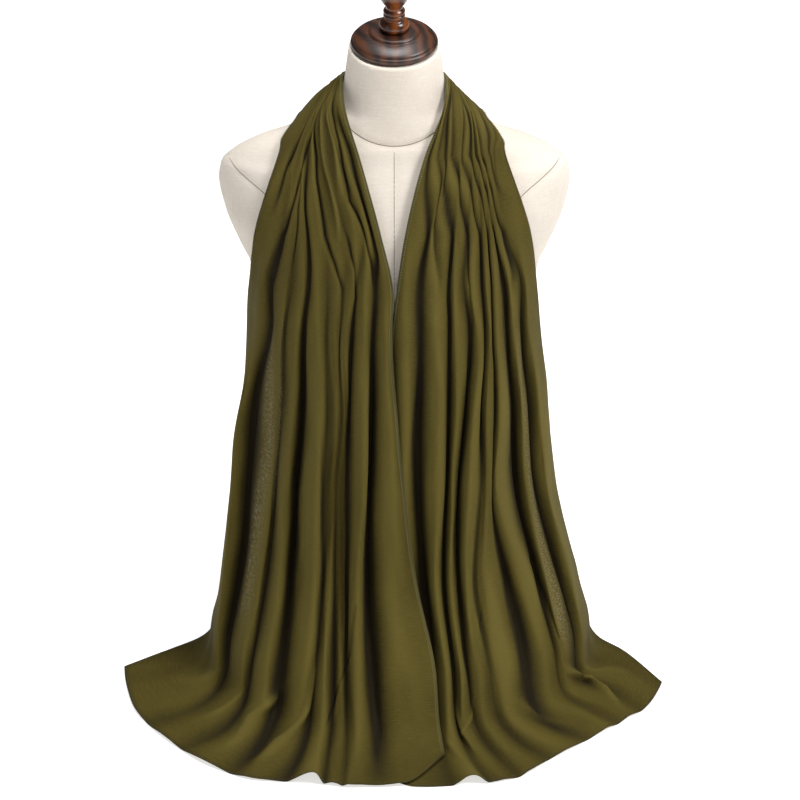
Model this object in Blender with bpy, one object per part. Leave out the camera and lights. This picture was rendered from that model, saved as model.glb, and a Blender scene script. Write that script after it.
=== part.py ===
"""A jersey hijab headscarf draped round the neck of a limbless dress form, with both ends spread on the table.

Metres, +Z up, the table at z = 0, the form's axis at x = y = 0 and its front facing -Y.
The scarf is one cloth in three stretches. Each follows the lines of its folds: a ridge or a valley is
one column of a table, and a row is a height down the drape.
"""
import math

import bmesh
import bpy
import numpy as np
from mathutils import Matrix, Vector

WALL = 0.0011          # the cloth
SEAM = 0.0003          # between two stretches of it
TILT = math.radians(18)  # the neck cap leans forward
CAP_CENTRE = Vector((0, -0.004, 0.712))

for thing in list(bpy.data.objects):
    bpy.data.objects.remove(thing, do_unlink=True)


# The form: half width, front depth, back depth and squareness at each height.
BODY = np.array([
    # z      half   front  back   power
    (0.0123, 0.1650, 0.104, 0.108, 2.3),
    (0.0600, 0.1620, 0.105, 0.110, 2.3),
    (0.1350, 0.1400, 0.098, 0.102, 2.3),
    (0.2200, 0.1150, 0.084, 0.082, 2.3),
    (0.2900, 0.1210, 0.090, 0.080, 2.3),
    (0.3500, 0.1360, 0.103, 0.084, 2.4),
    (0.4150, 0.1480, 0.115, 0.090, 2.5),
    (0.4700, 0.1580, 0.105, 0.094, 2.4),
    (0.4930, 0.1690, 0.100, 0.095, 2.3),
    (0.5280, 0.1830, 0.091, 0.094, 2.2),
    (0.5600, 0.1890, 0.080, 0.086, 2.1),
    (0.5770, 0.1860, 0.073, 0.078, 2.1),
    (0.5890, 0.1740, 0.068, 0.071, 2.0),
    (0.6020, 0.1490, 0.064, 0.066, 2.0),
    (0.6120, 0.1180, 0.060, 0.061, 2.0),
    (0.6240, 0.0860, 0.057, 0.057, 2.0),
    (0.6400, 0.0610, 0.0545, 0.055, 2.0),
    (0.6600, 0.0540, 0.0520, 0.0535, 2.0),
    (0.6850, 0.0502, 0.0490, 0.0505, 2.0),
])


def slopes(knots, values):
    """Slopes for a smooth run through the values that never overshoots them."""
    knots = knots.reshape(-1, *[1] * (values.ndim - 1))
    step = np.diff(knots, axis=0)
    rise = np.diff(values, axis=0) / step
    out = np.zeros_like(values, dtype=float)
    a, b = rise[:-1], rise[1:]
    same = a * b > 0
    out[1:-1] = np.where(same, 2 * a * b / np.where(same, a + b, 1), 0)
    out[0], out[-1] = rise[0], rise[-1]
    return out


def smooth(knots, values, at, free=False):
    """The values of a table between its rows; a free run may swing past them a little."""
    knots, values, at = np.asarray(knots, float), np.asarray(values, float), np.asarray(at, float)
    m = np.gradient(values, knots, axis=0) if free else slopes(knots, values)
    i = np.clip(np.searchsorted(knots, at, side="right") - 1, 0, len(knots) - 2)
    gap = (knots[i + 1] - knots[i])
    u = (at - knots[i]) / gap
    wide = (slice(None),) + (None,) * (values.ndim - 1)
    u, gap = u[wide], gap[wide]
    return ((1 + 2 * u) * (1 - u) ** 2 * values[i] + u * (1 - u) ** 2 * gap * m[i]
            + u * u * (3 - 2 * u) * values[i + 1] + u * u * (u - 1) * gap * m[i + 1])


def oval(half, deep, power, angle):
    """A point of a squared oval: angle 0 is the front, 90 degrees the side."""
    s, c = np.sin(angle), np.cos(angle)
    return half * np.sign(s) * np.abs(s) ** (2 / power), -deep * np.sign(c) * np.abs(c) ** (2 / power)


# Each tail, in mm. A column is the line of one ridge (R), valley (V) or edge (E, with S the outermost roll),
# and holds its distance from the middle of the form at each height down the drape.
LINES = 18
LEFT_NAMES = "E0 R1 V1 R2 V2 Rm Vm R3 V3 R4 V4 R5 V5 R6 V6 R7 S E1".split()
LEFT = {
    "collar":   (35.5, 39.8, 46.9, 53.2, 57.9, 64.7, 74.5, 78.3, 82, 87.9, 93.2, 97.8, 100.8, 104.4, 108.2, 115.1, 121.8, 118.8),
    "chest":    (13.3, 19, 23.4, 28.9, 33.1, 43.1, 51.1, 62.4, 71.3, 83.1, 91.2, 98.3, 103.6, 110.9, 117.4, 133, 148.4, 142.9),
    "vee":      (1.2, 8.9, 20.1, 31.7, 39.5, 45.5, 52.4, 62.9, 71, 81.3, 90.3, 98.9, 108.4, 118.1, 131.2, 142.1, 155.2, 152.5),
    "bust":     (2.5, 11, 22.4, 33.3, 44.7, 54.3, 58, 65.8, 72.9, 82.5, 93.8, 105.6, 116.1, 120.6, 130, 148, 160.8, 155.4),
    "under":    (-3.7, 8.4, 24.6, 34.6, 48.5, 54.4, 57.8, 63.4, 73.7, 85.7, 96.7, 112.2, 120.8, 130.3, 147.6, 160.5, 164.5, 160.5),
    "waist":    (-12.8, 7.6, 27.2, 36.1, 51.2, 58.9, 63.6, 68.8, 78.9, 90.1, 104.1, 122.7, 130.3, 137.9, 156.5, 175, 181, 162),
    "low":      (-28, 1, 30, 43, 52, 60, 66, 74.5, 82, 93.2, 113, 132, 142, 153, 168, 191.7, 194, 179),
    "bend":     (-48, -8, 24, 44, 53, 61, 68, 79.4, 88, 101, 122, 143, 156, 169, 183, 201.2, 208, 200),
    "ground":  (-52, -12, 20, 41, 52, 61, 69, 82, 94, 110, 132, 154, 168, 182, 196, 210, 222, 224),
    "spread":  (-54, -12, 19, 43, 53, 62, 72, 86, 102, 124, 148, 172, 192, 210, 228, 244, 260, 265),
    "hem":      (-55, -12, 18, 45, 54, 62.8, 73, 88, 112, 146, 172, 205, 228, 250, 271, 291, 307, 311),
}
RIGHT_NAMES = "E0 R1 V1 R2 V2 R3 V3 R4 V4 R5 V5 R6 V6 R7 V7 R8 S E1".split()
RIGHT = {
    "collar":   (31, 39.6, 51.8, 58.6, 67.6, 72.3, 79.5, 84.5, 86.7, 91.5, 92.4, 97.2, 98.4, 102.9, 103.6, 109, 117.1, 114),
    "chest":    (10.9, 21, 35.6, 41.4, 61.4, 67.5, 75.4, 84.6, 90.4, 96.6, 97.6, 103.6, 104.3, 110.6, 115.1, 130.4, 143.3, 142.7),
    "vee":      (2.8, 13.7, 26.9, 45.6, 58, 64.6, 72.7, 82.4, 92.5, 98.7, 101.9, 107.5, 115.7, 122.8, 132.7, 140.5, 151.4, 149.6),
    "bust":     (-3.6, 11.6, 27, 45.1, 58, 66.5, 79.5, 90.7, 95.3, 102.4, 103.7, 109.6, 118.6, 127.7, 134.1, 143.8, 156.6, 149.3),
    "under":    (-5.6, 12, 25.1, 48.9, 57.9, 68.6, 75.3, 88.2, 93.8, 101.6, 109.2, 116.9, 124.8, 138.9, 142.6, 157.3, 166, 162.3),
    "waist":    (-7.5, 10, 25.3, 48.7, 55.6, 65.1, 67.8, 83.6, 96.8, 104.4, 107, 115.1, 129.5, 144.6, 151.6, 167.6, 174.9, 165.8),
    "low":      (-6, 10, 33, 47, 55, 65, 71, 82.8, 92, 105, 124, 144, 154, 167.9, 177, 193.2, 199, 184),
    "bend":     (-4, 14, 43, 58, 64, 74.3, 80, 93, 105, 118, 142, 166, 177, 188, 200, 212.9, 222, 214),
    "ground":  (-6, 16, 47, 63, 70, 79, 90, 103, 117, 131, 155, 179, 190, 201, 212, 223, 232, 236),
    "spread":  (-10, 20, 52, 73, 84, 96, 110, 125, 141, 157, 182, 207, 220, 233, 246, 257, 266, 270),
    "hem":     (-15, 24, 60, 84, 99, 114, 130, 147, 165, 184, 208, 231, 245, 259, 273, 288, 299, 303),
}
# How far each line stands off the innermost surface, as a share of that height's fold, at four heights.
LEFT_RISE = {
    "collar":  (0.3, 1.0, 0, 0.5, 0.1, 1.0, 0.3, 0.6, 0, 0.9, 0, 0.7, 0.5, 0.8, 0, 1.0, 0.7, 0),
    "bust":    (0.8, 1.0, 0, 0.9, 0.1, 0.8, 0.6, 1.0, 0.75, 1.0, 0, 0.9, 0.5, 0.8, 0, 0.9, 0.7, 0),
    "waist":   (0.75, 0.9, 0, 0.9, 0.15, 0.2, 0.2, 0.35, 0.4, 1.0, 0, 0.9, 0.55, 0.8, 0.1, 1.0, 0.6, 0),
    "bend":    (0.95, 0.85, 0, 0.8, 0.1, 0.3, 0.1, 0.9, 0.45, 1.0, 0.05, 0.9, 0.4, 0.8, 0.05, 0.8, 0.5, 0.1),
    "spread":  (1.0, 0.8, 0.1, 0.9, 0.3, 0.6, 0.1, 1.5, 0.1, 0.9, 0, 1.1, 0.2, 0.6, 0.1, 0.5, 0.2, 0),
    "hem":     (1.0, 0.9, 0.5, 0.9, 0.3, 0.8, 0.1, 3.3, 0, 0.5, 0, 0.9, 0.1, 0.6, 0, 0.5, 0.1, 0),
}
RIGHT_RISE = {
    "collar":  (0.3, 1.0, 0, 0.9, 0.2, 1.0, 0, 0.9, 0.1, 0.9, 0, 0.8, 0.1, 0.8, 0, 1.0, 0.7, 0),
    "bust":    (0.15, 0.8, 0, 0.9, 0, 0.9, 0.1, 1.0, 0.2, 0.9, 0.4, 0.9, 0, 0.9, 0.1, 1.0, 0.7, 0),
    "waist":   (0.1, 0.6, 0, 0.85, 0.1, 0.7, 0.1, 1.0, 0.8, 0.95, 0.7, 1.0, 0, 0.6, 0.4, 1.0, 0.6, 0),
    "bend":    (0.05, 0.3, 0, 0.75, 0.2, 0.9, 0.5, 1.0, 0.7, 0.9, 0, 0.5, 0.3, 0.7, 0.3, 0.8, 0.5, 0.1),
    "spread":  (0, 0.15, 0, 1.0, 0.3, 0.6, 0.1, 0.8, 0.2, 0.9, 0, 0.5, 0.2, 0.6, 0.2, 0.5, 0.2, 0),
    "hem":     (0, 0.1, 0, 2.4, 0.2, 0.4, 0, 0.7, 0.1, 0.5, 0, 0.6, 0.1, 0.5, 0.1, 0.4, 0.1, 0),
}
# Each height down the drape: z, how far the innermost surface clears the form at the left side, the right side
# and the front, its squareness on the left and the right, the height of a fold, and how far in degrees the outer
# edge turns back behind the outermost roll.
DRAPE = {
    #          z    left   right  front  power     fold  turn
    "collar":  (599, 3.0, 3.0, 9.0, 2.1, 2.1, 4.0, 0),
    "chest":   (523, 3.2, 3.2, 9.0, 2.3, 2.3, 6.5, 0),
    "vee":     (471, 2.8, 2.8, 7.5, 2.4, 2.4, 7.5, 1),
    "bust":    (423, 5.5, 5.5, 6.5, 2.5, 2.5, 10.0, 3),
    "under":   (336, 24.0, 25.0, 21.0, 2.4, 2.4, 20.0, 7),
    "waist":   (245, 48.0, 48.0, 38.0, 2.3, 2.3, 27.0, 9),
    "low":     (135, 41.0, 46.0, 42.0, 2.3, 2.3, 28.0, 8),
    "bend":    (55, 38.0, 51.0, 88.0, 2.35, 2.3, 24.0, 6),
    "ground":  (7, 60.0, 73.0, 142.0, 2.4, 2.2, 14.0, 4),
    "spread":  (0.9, 102.0, 110.0, 187.0, 2.4, 2.1, 8.0, 1),
    "hem":     (0.85, 151.0, 160.0, 219.0, 2.4, 2.0, 4.5, 0),
}
# How far the hem's line stands forward (-) or back (+) of its oval at each line, in mm.
HEM_TRIM = {"left": (48, -2, -4, -6, -5, -4, -3, -4, -6, -13, -13, -11, -7, -6, -8, -12, -6, -4),
            "right": (15, -5, -7, -9, -12, -13, -13, -9, 2, 5, 9, 8, 5, 2, -6, -10, -6, -4)}
# Where the gathers come over the shoulder: their inner and outer ends in mm, how high they bulge between them, and
# how much closer together they lie at the neck than at the outer end.
NECK_SIDE = {
    "left": {"top": ((54, 0, 669), (104, 0, 623), 4.0, 1.5), "side": ((51, -46, 647), (117.4, -34, 609.6), 5.0, 1.15)},
    "right": {"top": ((53, 0, 669), (97, 0, 625), -1.0, 1.5), "side": ((51, -46, 647), (113.0, -34, 609.6), 3.5, 1.15)},
}
ROWS = ["top", "side"] + list(DRAPE)
# Where the rows lie along the cloth, in mm from the top of the shoulder.
ALONG = np.array([0, 48, 106, 186, 240, 290, 378, 470, 582, 680, 752, 798, 832]) / 832


def rise_table(rises):
    """The share of a fold at every row, from the heights that the table names."""
    rows = list(DRAPE)
    at = [rows.index(name) for name in rises]
    return smooth(at, np.array(list(rises.values())), np.arange(len(rows)))


def facing(grid, sign, first=False, last=False):
    """The normals of a grid of points; a row that meets the next stretch faces along the seam."""
    n = np.cross(np.gradient(grid, axis=1), np.gradient(grid, axis=0)) * sign
    if first:
        n[0, :, 1] = 0
    if last:
        n[-1, :, 1] = 0
    return n / np.linalg.norm(n, axis=-1, keepdims=True)


class Tail:
    """One hanging end of the scarf, its middle surface a function of s (inner edge 0, outer 1) and t (shoulder 0, hem 1)."""

    def __init__(self, side):
        self.sign = -1 if side == "left" else 1
        lines, rises = (LEFT, LEFT_RISE) if side == "left" else (RIGHT, RIGHT_RISE)
        drape = np.array(list(DRAPE.values()))
        z, clear_left, clear_right, clear_front, power_left, power_right, fold, turn = drape.T
        clear_side, power = (clear_left, power_left) if side == "left" else (clear_right, power_right)
        form = smooth(BODY[:, 0], BODY[:, 1:], np.maximum(z / 1000, BODY[0, 0])) * 1000
        half, front = form[:, 0] + clear_side, form[:, 1] + clear_front
        x = np.array(list(lines.values()), float)
        rise = rise_table(rises) * fold[:, None]
        reach = np.clip(np.abs(x) / (half[:, None] + rise), 0, 1)
        angle = np.arcsin(reach ** (power[:, None] / 2)) * np.sign(x)
        for k in range(1, LINES - 1):
            angle[:, k] = np.maximum(angle[:, k], angle[:, k - 1] + np.radians(1.3))
        angle[:, -1] = np.maximum(angle[:, -1], angle[:, -2] + np.radians(0.5)) + np.radians(turn)
        bx, by = oval(half[:, None], front[:, None], power[:, None], angle)
        by[-1] += np.array(HEM_TRIM[side])
        by[-2] += np.array(HEM_TRIM[side]) * 0.35
        grid = np.stack([bx, by, np.repeat(z[:, None], LINES, 1)], -1)
        share = (x[0] - x[0, 0]) / (x[0, -2] - x[0, 0])
        share[-1] = 1.04
        above = []
        for inner, outer, bulge, closer in NECK_SIDE[side].values():
            a, b = np.array(inner, float), np.array(outer, float)
            row = a + (b - a) * (share ** closer)[:, None]
            row[:, 2] += bulge * np.sin(np.pi * np.clip(share ** closer, 0, 1))
            above.append(row)
        self.grid = np.concatenate([np.array(above), grid]) / 1000
        self.rise = np.concatenate([rise[:1] * 0.5, rise[:1] * 0.8, rise]) / 1000
        self.places = np.linspace(0, 1, LINES)

    def base(self, s, t):
        rows = smooth(ALONG, self.grid, t, free=True)
        rows[..., 2] = np.maximum(rows[..., 2], 0.00085)
        out = np.empty((len(t), len(s), 3))
        for i, row in enumerate(rows):
            out[i] = smooth(self.places, row, s)
        return out * (self.sign, 1, 1)

    def height(self, s, t):
        rows = smooth(ALONG, self.rise, t)
        i = np.clip(np.searchsorted(self.places, s, side="right") - 1, 0, LINES - 2)
        u = (s - self.places[i]) * (LINES - 1)
        low, high = np.minimum(rows[:, i], rows[:, i + 1]), np.maximum(rows[:, i], rows[:, i + 1])
        down = np.where(rows[:, i] >= rows[:, i + 1], u, 1 - u)
        return low + (high - low) * (0.5 + 0.5 * np.cos(np.pi * down)) ** 0.8

    def surface(self, s, t):
        """The middle of the wall and its outward normal."""
        def normals(place):
            h = 2e-3
            ds = place(np.minimum(s + h, 1), t) - place(np.maximum(s - h, 0), t)
            dt = place(s, np.minimum(t + h, 1)) - place(s, np.maximum(t - h, 0))
            n = np.cross(dt, ds) * self.sign
            if t[0] == 0:
                n[0, :, 1] = 0
            return n / np.linalg.norm(n, axis=-1, keepdims=True)

        flat = normals(self.base)
        middle = self.base(s, t) + flat * self.height(s, t)[..., None]
        return middle, facing(middle, -self.sign, t[0] == 0)


class Wrap:
    """The gathered stretch behind the neck: t runs from the left shoulder round the back to the right one."""

    def __init__(self, left, right):
        self.left, self.right = left, right

    def ends(self, s):
        one = np.zeros(1)
        return self.left.base(s, one)[0], self.right.base(s, one)[0]

    def base(self, s, t):
        a, b = self.ends(s)
        share = np.clip((np.abs(a[:, 0]) - 0.054) / 0.050, -0.1, 1.1)
        back_y, back_z = 0.0578 + 0.024 * share, 0.664 - 0.052 * share
        turn = (t - 0.5) * np.pi
        out = np.empty((len(t), len(s), 3))
        mix = (0.5 + 0.5 * np.sin(turn))[:, None]
        wide = np.abs(a[None, :, 0]) * (1 - mix) + np.abs(b[None, :, 0]) * mix
        side_z = a[None, :, 2] * (1 - mix) + b[None, :, 2] * mix
        c = np.cos(turn)[:, None]
        out[..., 0] = wide * np.sin(turn)[:, None]
        out[..., 1] = back_y * np.abs(c) ** 0.95 + SEAM
        out[..., 2] = side_z + (back_z - side_z) * c ** 2
        return out

    def height(self, s, t):
        one = np.zeros(1)
        a, b = self.left.height(s, one), self.right.height(s, one)
        mix = (0.5 + 0.5 * np.sin((t - 0.5) * np.pi))[:, None]
        return (a * (1 - mix) + b * mix)

    def surface(self, s, t):
        def normals(place):
            h = 2e-3
            ds = place(np.minimum(s + h, 1), t) - place(np.maximum(s - h, 0), t)
            dt = place(s, np.minimum(t + h, 1)) - place(s, np.maximum(t - h, 0))
            n = -np.cross(ds, dt)
            n[[0, -1], :, 1] = 0
            return n / np.linalg.norm(n, axis=-1, keepdims=True)

        flat = normals(self.base)
        middle = self.base(s, t) + flat * self.height(s, t)[..., None]
        return middle, facing(middle, -1, True, True)


def material(name, colour, rough):
    made = bpy.data.materials.new(name)
    made.use_nodes = True
    shader = made.node_tree.nodes["Principled BSDF"]
    shader.inputs["Base Color"].default_value = (*colour, 1)
    shader.inputs["Roughness"].default_value = rough
    return made


def add(name, points, faces, made_of):
    mesh = bpy.data.meshes.new(name)
    mesh.from_pydata([tuple(p) for p in points], [], faces)
    mesh.update()
    body = bmesh.new()
    body.from_mesh(mesh)
    bmesh.ops.triangulate(body, faces=body.faces[:])
    bmesh.ops.recalc_face_normals(body, faces=body.faces[:])
    body.to_mesh(mesh)
    body.free()
    thing = bpy.data.objects.new(name, mesh)
    bpy.context.scene.collection.objects.link(thing)
    mesh.materials.append(made_of)
    return thing


def shell(middle, normal, wall=WALL):
    """A closed wall round a grid of middle points."""
    rows, columns = middle.shape[:2]
    outer, inner = middle + normal * wall / 2, middle - normal * wall / 2
    points = np.concatenate([outer.reshape(-1, 3), inner.reshape(-1, 3)])
    points[:, 2] = np.maximum(points[:, 2], 0.0002 + 0.0002 * (np.arange(len(points)) < rows * columns))
    at = np.arange(rows * columns).reshape(rows, columns)
    back = at + rows * columns
    faces = []
    for i in range(rows - 1):
        for j in range(columns - 1):
            a, b, c, d = at[i, j], at[i, j + 1], at[i + 1, j + 1], at[i + 1, j]
            faces += [(a, b, c), (a, c, d)]
            a, b, c, d = back[i, j], back[i, j + 1], back[i + 1, j + 1], back[i + 1, j]
            faces += [(a, c, b), (a, d, c)]
    rim = list(at[0, :-1]) + list(at[:-1, -1]) + list(at[-1, :0:-1]) + list(at[:0:-1, 0])
    for a, b in zip(rim, rim[1:] + rim[:1]):
        faces.append((a, a + rows * columns, b + rows * columns, b))
    return points, faces


def columns(lines, wide):
    """Places across the cloth: two steps to a flank, three where it is wide."""
    out = []
    for i in range(lines - 1):
        steps = 3 if i in wide else 2
        out += [(i + k / steps) / (lines - 1) for k in range(steps)]
    return np.array(out + [1.0])


def turned(name, profile, made_of, place=Matrix(), steps=32):
    """A solid of revolution from (radius, height) pairs that start and end on the axis."""
    rings = [(r, h) for r, h in profile if r > 0]
    points = [(0, 0, profile[0][1])]
    for r, h in rings:
        points += [(r * math.cos(a), r * math.sin(a), h) for a in np.arange(steps) * 2 * math.pi / steps]
    points.append((0, 0, profile[-1][1]))
    faces, last = [], len(points) - 1
    for k in range(steps):
        n = (k + 1) % steps
        faces.append((0, 1 + n, 1 + k))
        for i in range(len(rings) - 1):
            a, b = 1 + i * steps, 1 + (i + 1) * steps
            faces.append((a + k, a + n, b + n, b + k))
        top = 1 + (len(rings) - 1) * steps
        faces.append((last, top + k, top + n))
    return add(name, [place @ Vector(p) for p in points], faces, made_of)


olive = material("olive_jersey", (0.088, 0.078, 0.022), 0.85)
linen = material("cream_cover", (0.72, 0.67, 0.60), 0.8)
walnut = material("dark_walnut", (0.055, 0.022, 0.012), 0.35)
amber = material("finial_walnut", (0.16, 0.055, 0.015), 0.22)
board = material("plain_board", (0.35, 0.25, 0.16), 0.6)

# The body, cut off by the plane under the cap.
RING = 32
levels = np.concatenate([np.linspace(0.0123, 0.45, 12)[:-1], np.linspace(0.45, 0.575, 7)[:-1], np.linspace(0.575, 0.66, 11)[:-1], [0.66, 0.68, 0.73]])
around = np.arange(RING) * 2 * math.pi / RING
points = []
for z in levels:
    half, front, back, power = smooth(BODY[:, 0], BODY[:, 1:], np.array([min(z, BODY[-1, 0])]))[0]
    if z > BODY[-1, 0]:
        half, front, back = (v - (z - BODY[-1, 0]) * 0.15 for v in (half, front, back))
    x, y = oval(half, 1.0, power, around)
    points += [(px, py * (front if py < 0 else back), z) for px, py in zip(x, y)]
faces = [tuple(reversed(range(RING))), tuple(len(points) - RING + k for k in range(RING))]
for i in range(len(levels) - 1):
    for k in range(RING):
        n = (k + 1) % RING
        faces.append((i * RING + k, i * RING + n, (i + 1) * RING + n, (i + 1) * RING + k))
body = add("form_body", points, faces, linen)

NECK_UP = Vector((0, -math.sin(TILT), math.cos(TILT)))
work = bmesh.new()
work.from_mesh(body.data)
cut = bmesh.ops.bisect_plane(work, geom=work.verts[:] + work.edges[:] + work.faces[:], plane_co=CAP_CENTRE - NECK_UP * 0.0103,
                             plane_no=NECK_UP, clear_outer=True, dist=1e-6)
bmesh.ops.holes_fill(work, edges=[e for e in cut["geom_cut"] if isinstance(e, bmesh.types.BMEdge)], sides=0)
bmesh.ops.triangulate(work, faces=work.faces[:])
bmesh.ops.recalc_face_normals(work, faces=work.faces[:])
work.to_mesh(body.data)

turned("base_board", [(0, 0), (1.0, 0), (1.0, 0.012), (0, 0.012)], board, Matrix.Diagonal((0.158, 0.101, 1, 1)), 48)

leaning = Matrix.Translation(CAP_CENTRE) @ Matrix.Rotation(TILT, 4, "X")
turned("neck_cap", [(0, -0.010), (0.0425, -0.010), (0.0452, -0.0088), (0.0460, -0.0062), (0.0452, -0.0042), (0.0436, -0.0034),
                    (0.0428, -0.0018), (0.0400, 0.0006), (0.0340, 0.0036), (0.0290, 0.0050), (0.0262, 0.0054), (0.0254, 0.0068),
                    (0.0236, 0.0078), (0.0170, 0.0086), (0.0, 0.0086)], walnut, leaning, 28)
turned("finial", [(0, 0.0089), (0.0125, 0.0089), (0.0150, 0.0104), (0.0160, 0.0135), (0.0154, 0.0165), (0.0132, 0.0195),
                  (0.0104, 0.0210), (0.0100, 0.0226), (0.0112, 0.0238), (0.0115, 0.0254), (0.0108, 0.0270), (0.0113, 0.0286),
                  (0.0112, 0.0308), (0.0096, 0.0326), (0.0086, 0.0340), (0.0092, 0.0370), (0.0128, 0.0410), (0.0156, 0.0470),
                  (0.0160, 0.0530), (0.0146, 0.0590), (0.0110, 0.0640), (0.0060, 0.0668), (0.0, 0.0676)], amber, leaning, 16)

left, right = Tail("left"), Tail("right")
down = smooth(np.arange(13) / 12, ALONG, np.linspace(0, 1, 26))
across = {"left": columns(LINES, (9, 10, 14, 15)), "right": columns(LINES, (1, 9, 14, 15))}
for name, tail in (("left", left), ("right", right)):
    middle, normal = tail.surface(across[name], down)
    add(name + "_tail", *shell(middle, normal), olive)
middle, normal = Wrap(left, right).surface(columns(LINES, ()), np.linspace(0, 1, 13))
add("neck_wrap", *shell(middle, normal), olive)
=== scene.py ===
# %% [markdown]
# # A jersey headscarf on a dress form
# The real thing is one long piece of thin olive jersey. It is gathered behind the neck of a limbless dress form, and
# its two ends hang down the front and spread out on the table. The solids from the CAD step say where everything is.
# This lesson dresses them: one cloth with real folds, sewn edges, a linen cover on the form and varnished wood.

# %% Load the frame
import math

import bpy
import numpy as np
from mathutils import Matrix, Vector


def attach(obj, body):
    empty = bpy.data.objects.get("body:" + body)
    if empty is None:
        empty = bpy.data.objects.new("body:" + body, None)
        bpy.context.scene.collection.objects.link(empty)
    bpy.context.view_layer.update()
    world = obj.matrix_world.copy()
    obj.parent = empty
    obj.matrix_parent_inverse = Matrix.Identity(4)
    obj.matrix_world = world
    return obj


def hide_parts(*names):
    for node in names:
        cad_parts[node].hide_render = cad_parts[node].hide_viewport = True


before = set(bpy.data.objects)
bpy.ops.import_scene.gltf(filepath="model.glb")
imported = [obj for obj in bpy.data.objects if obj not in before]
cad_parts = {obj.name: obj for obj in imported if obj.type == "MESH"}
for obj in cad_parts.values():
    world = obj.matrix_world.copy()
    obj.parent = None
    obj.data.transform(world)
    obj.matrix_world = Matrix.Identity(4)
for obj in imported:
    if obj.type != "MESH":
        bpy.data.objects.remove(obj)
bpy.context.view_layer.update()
print("nodes:", ", ".join(sorted(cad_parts)))

# %% [markdown]
# Every piece below is points and faces worked out in numpy, so one helper turns them into an object.
# It rides on the only body and stands for its CAD node. The faces are smooth, because cloth and turned wood are.

# %% Make a piece


def placed(name, data):
    """A new object in the scene."""
    made = bpy.data.objects.new(name, data)
    bpy.context.scene.collection.objects.link(made)
    return made


def make_piece(name, points, faces, finish, stands_for=(), slot=None):
    mesh = bpy.data.meshes.new(name)
    mesh.from_pydata(np.asarray(points).tolist(), [], [list(map(int, face)) for face in faces])
    mesh.polygons.foreach_set("use_smooth", [True] * len(mesh.polygons))
    mesh.materials.append(finish)
    mesh.update()
    piece = placed(name, mesh)
    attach(piece, "root")
    if stands_for:
        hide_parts(*stands_for)
    print(name, len(mesh.polygons), "faces")
    return piece


def grid_faces(rows, columns, closed=False):
    """Quads over a grid of points; a closed grid joins its last column to its first."""
    at = np.arange(rows * columns).reshape(rows, columns)
    if closed:
        at = np.concatenate([at, at[:, :1]], axis=1)
    return np.stack([at[:-1, :-1], at[:-1, 1:], at[1:, 1:], at[1:, :-1]], -1).reshape(-1, 4)


def lay_map(piece, per_point, name="cloth"):
    """Gives the mesh a map in metres, so a weave keeps its real size."""
    layer = piece.data.uv_layers.new(name=name)
    corner = np.empty(len(piece.data.loops), np.int32)
    piece.data.loops.foreach_get("vertex_index", corner)
    layer.data.foreach_set("uv", np.asarray(per_point, np.float32)[corner].ravel())


def unit(vectors):
    return vectors / (np.linalg.norm(vectors, axis=-1, keepdims=True) + 1e-12)


def turns(count):
    """One full turn in equal steps."""
    return np.arange(count) * 2 * math.pi / count


def run_of(line):
    """How far each point of a line is from its start."""
    return np.r_[0, np.cumsum(np.linalg.norm(np.diff(line, axis=0), axis=1))]


def values_at(values, run, at):
    """What a line's points hold, at these distances from its start."""
    return np.stack([np.interp(at, run, values[:, axis]) for axis in range(3)], -1)


def end_faces(last, sides):
    """The two faces that close a tube, from the first point of its last ring."""
    return [list(range(sides))[::-1], [last + k for k in range(sides)]]


def thread(path, radius, sides=5, closed=False):
    """Points and faces of a thin tube along a path."""
    path = np.asarray(path, float)
    along = unit(np.roll(path, -1, 0) - np.roll(path, 1, 0)) if closed else unit(np.gradient(path, axis=0))
    guide = np.array([0.31, 0.17, 0.93])
    across = unit(np.cross(along, guide))
    up = np.cross(across, along)
    turn = turns(sides)[None, :, None]
    rings = path[:, None] + radius * (across[:, None] * np.cos(turn) + up[:, None] * np.sin(turn))
    faces = grid_faces(len(path), sides, closed=True).tolist()
    last = len(faces)
    if closed:
        faces += [[last + k, last + (k + 1) % sides, (k + 1) % sides, k] for k in range(sides)]
    else:
        faces += end_faces(last, sides)
    return rings.reshape(-1, 3), faces


def joined(meshes):
    """Several points-and-faces pairs as one."""
    points, faces, start = [], [], 0
    for some, more in meshes:
        points.append(some)
        faces += [[start + k for k in face] for face in more]
        start += len(some)
    return np.concatenate(points), faces


# %% [markdown]
# A material is a sum of small ideas: a weave here, a darker patch there. Written as Python expressions they stay
# readable, so a small class wraps a socket, and adding or multiplying two of them adds the Math node.

# %% Shader maths


class Value:
    """One output socket, with arithmetic."""

    def __init__(self, finish, socket):
        self.finish, self.socket = finish, socket

    def maths(self, operation, *values):
        return self.finish.node("ShaderNodeMath", {"operation": operation}, values)

    def __add__(self, other):
        return self.maths("ADD", self, other)

    def __mul__(self, other):
        return self.maths("MULTIPLY", self, other)

    def __rsub__(self, other):
        return self.maths("SUBTRACT", other, self)

    def sine(self):
        return self.maths("SINE", self)


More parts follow.
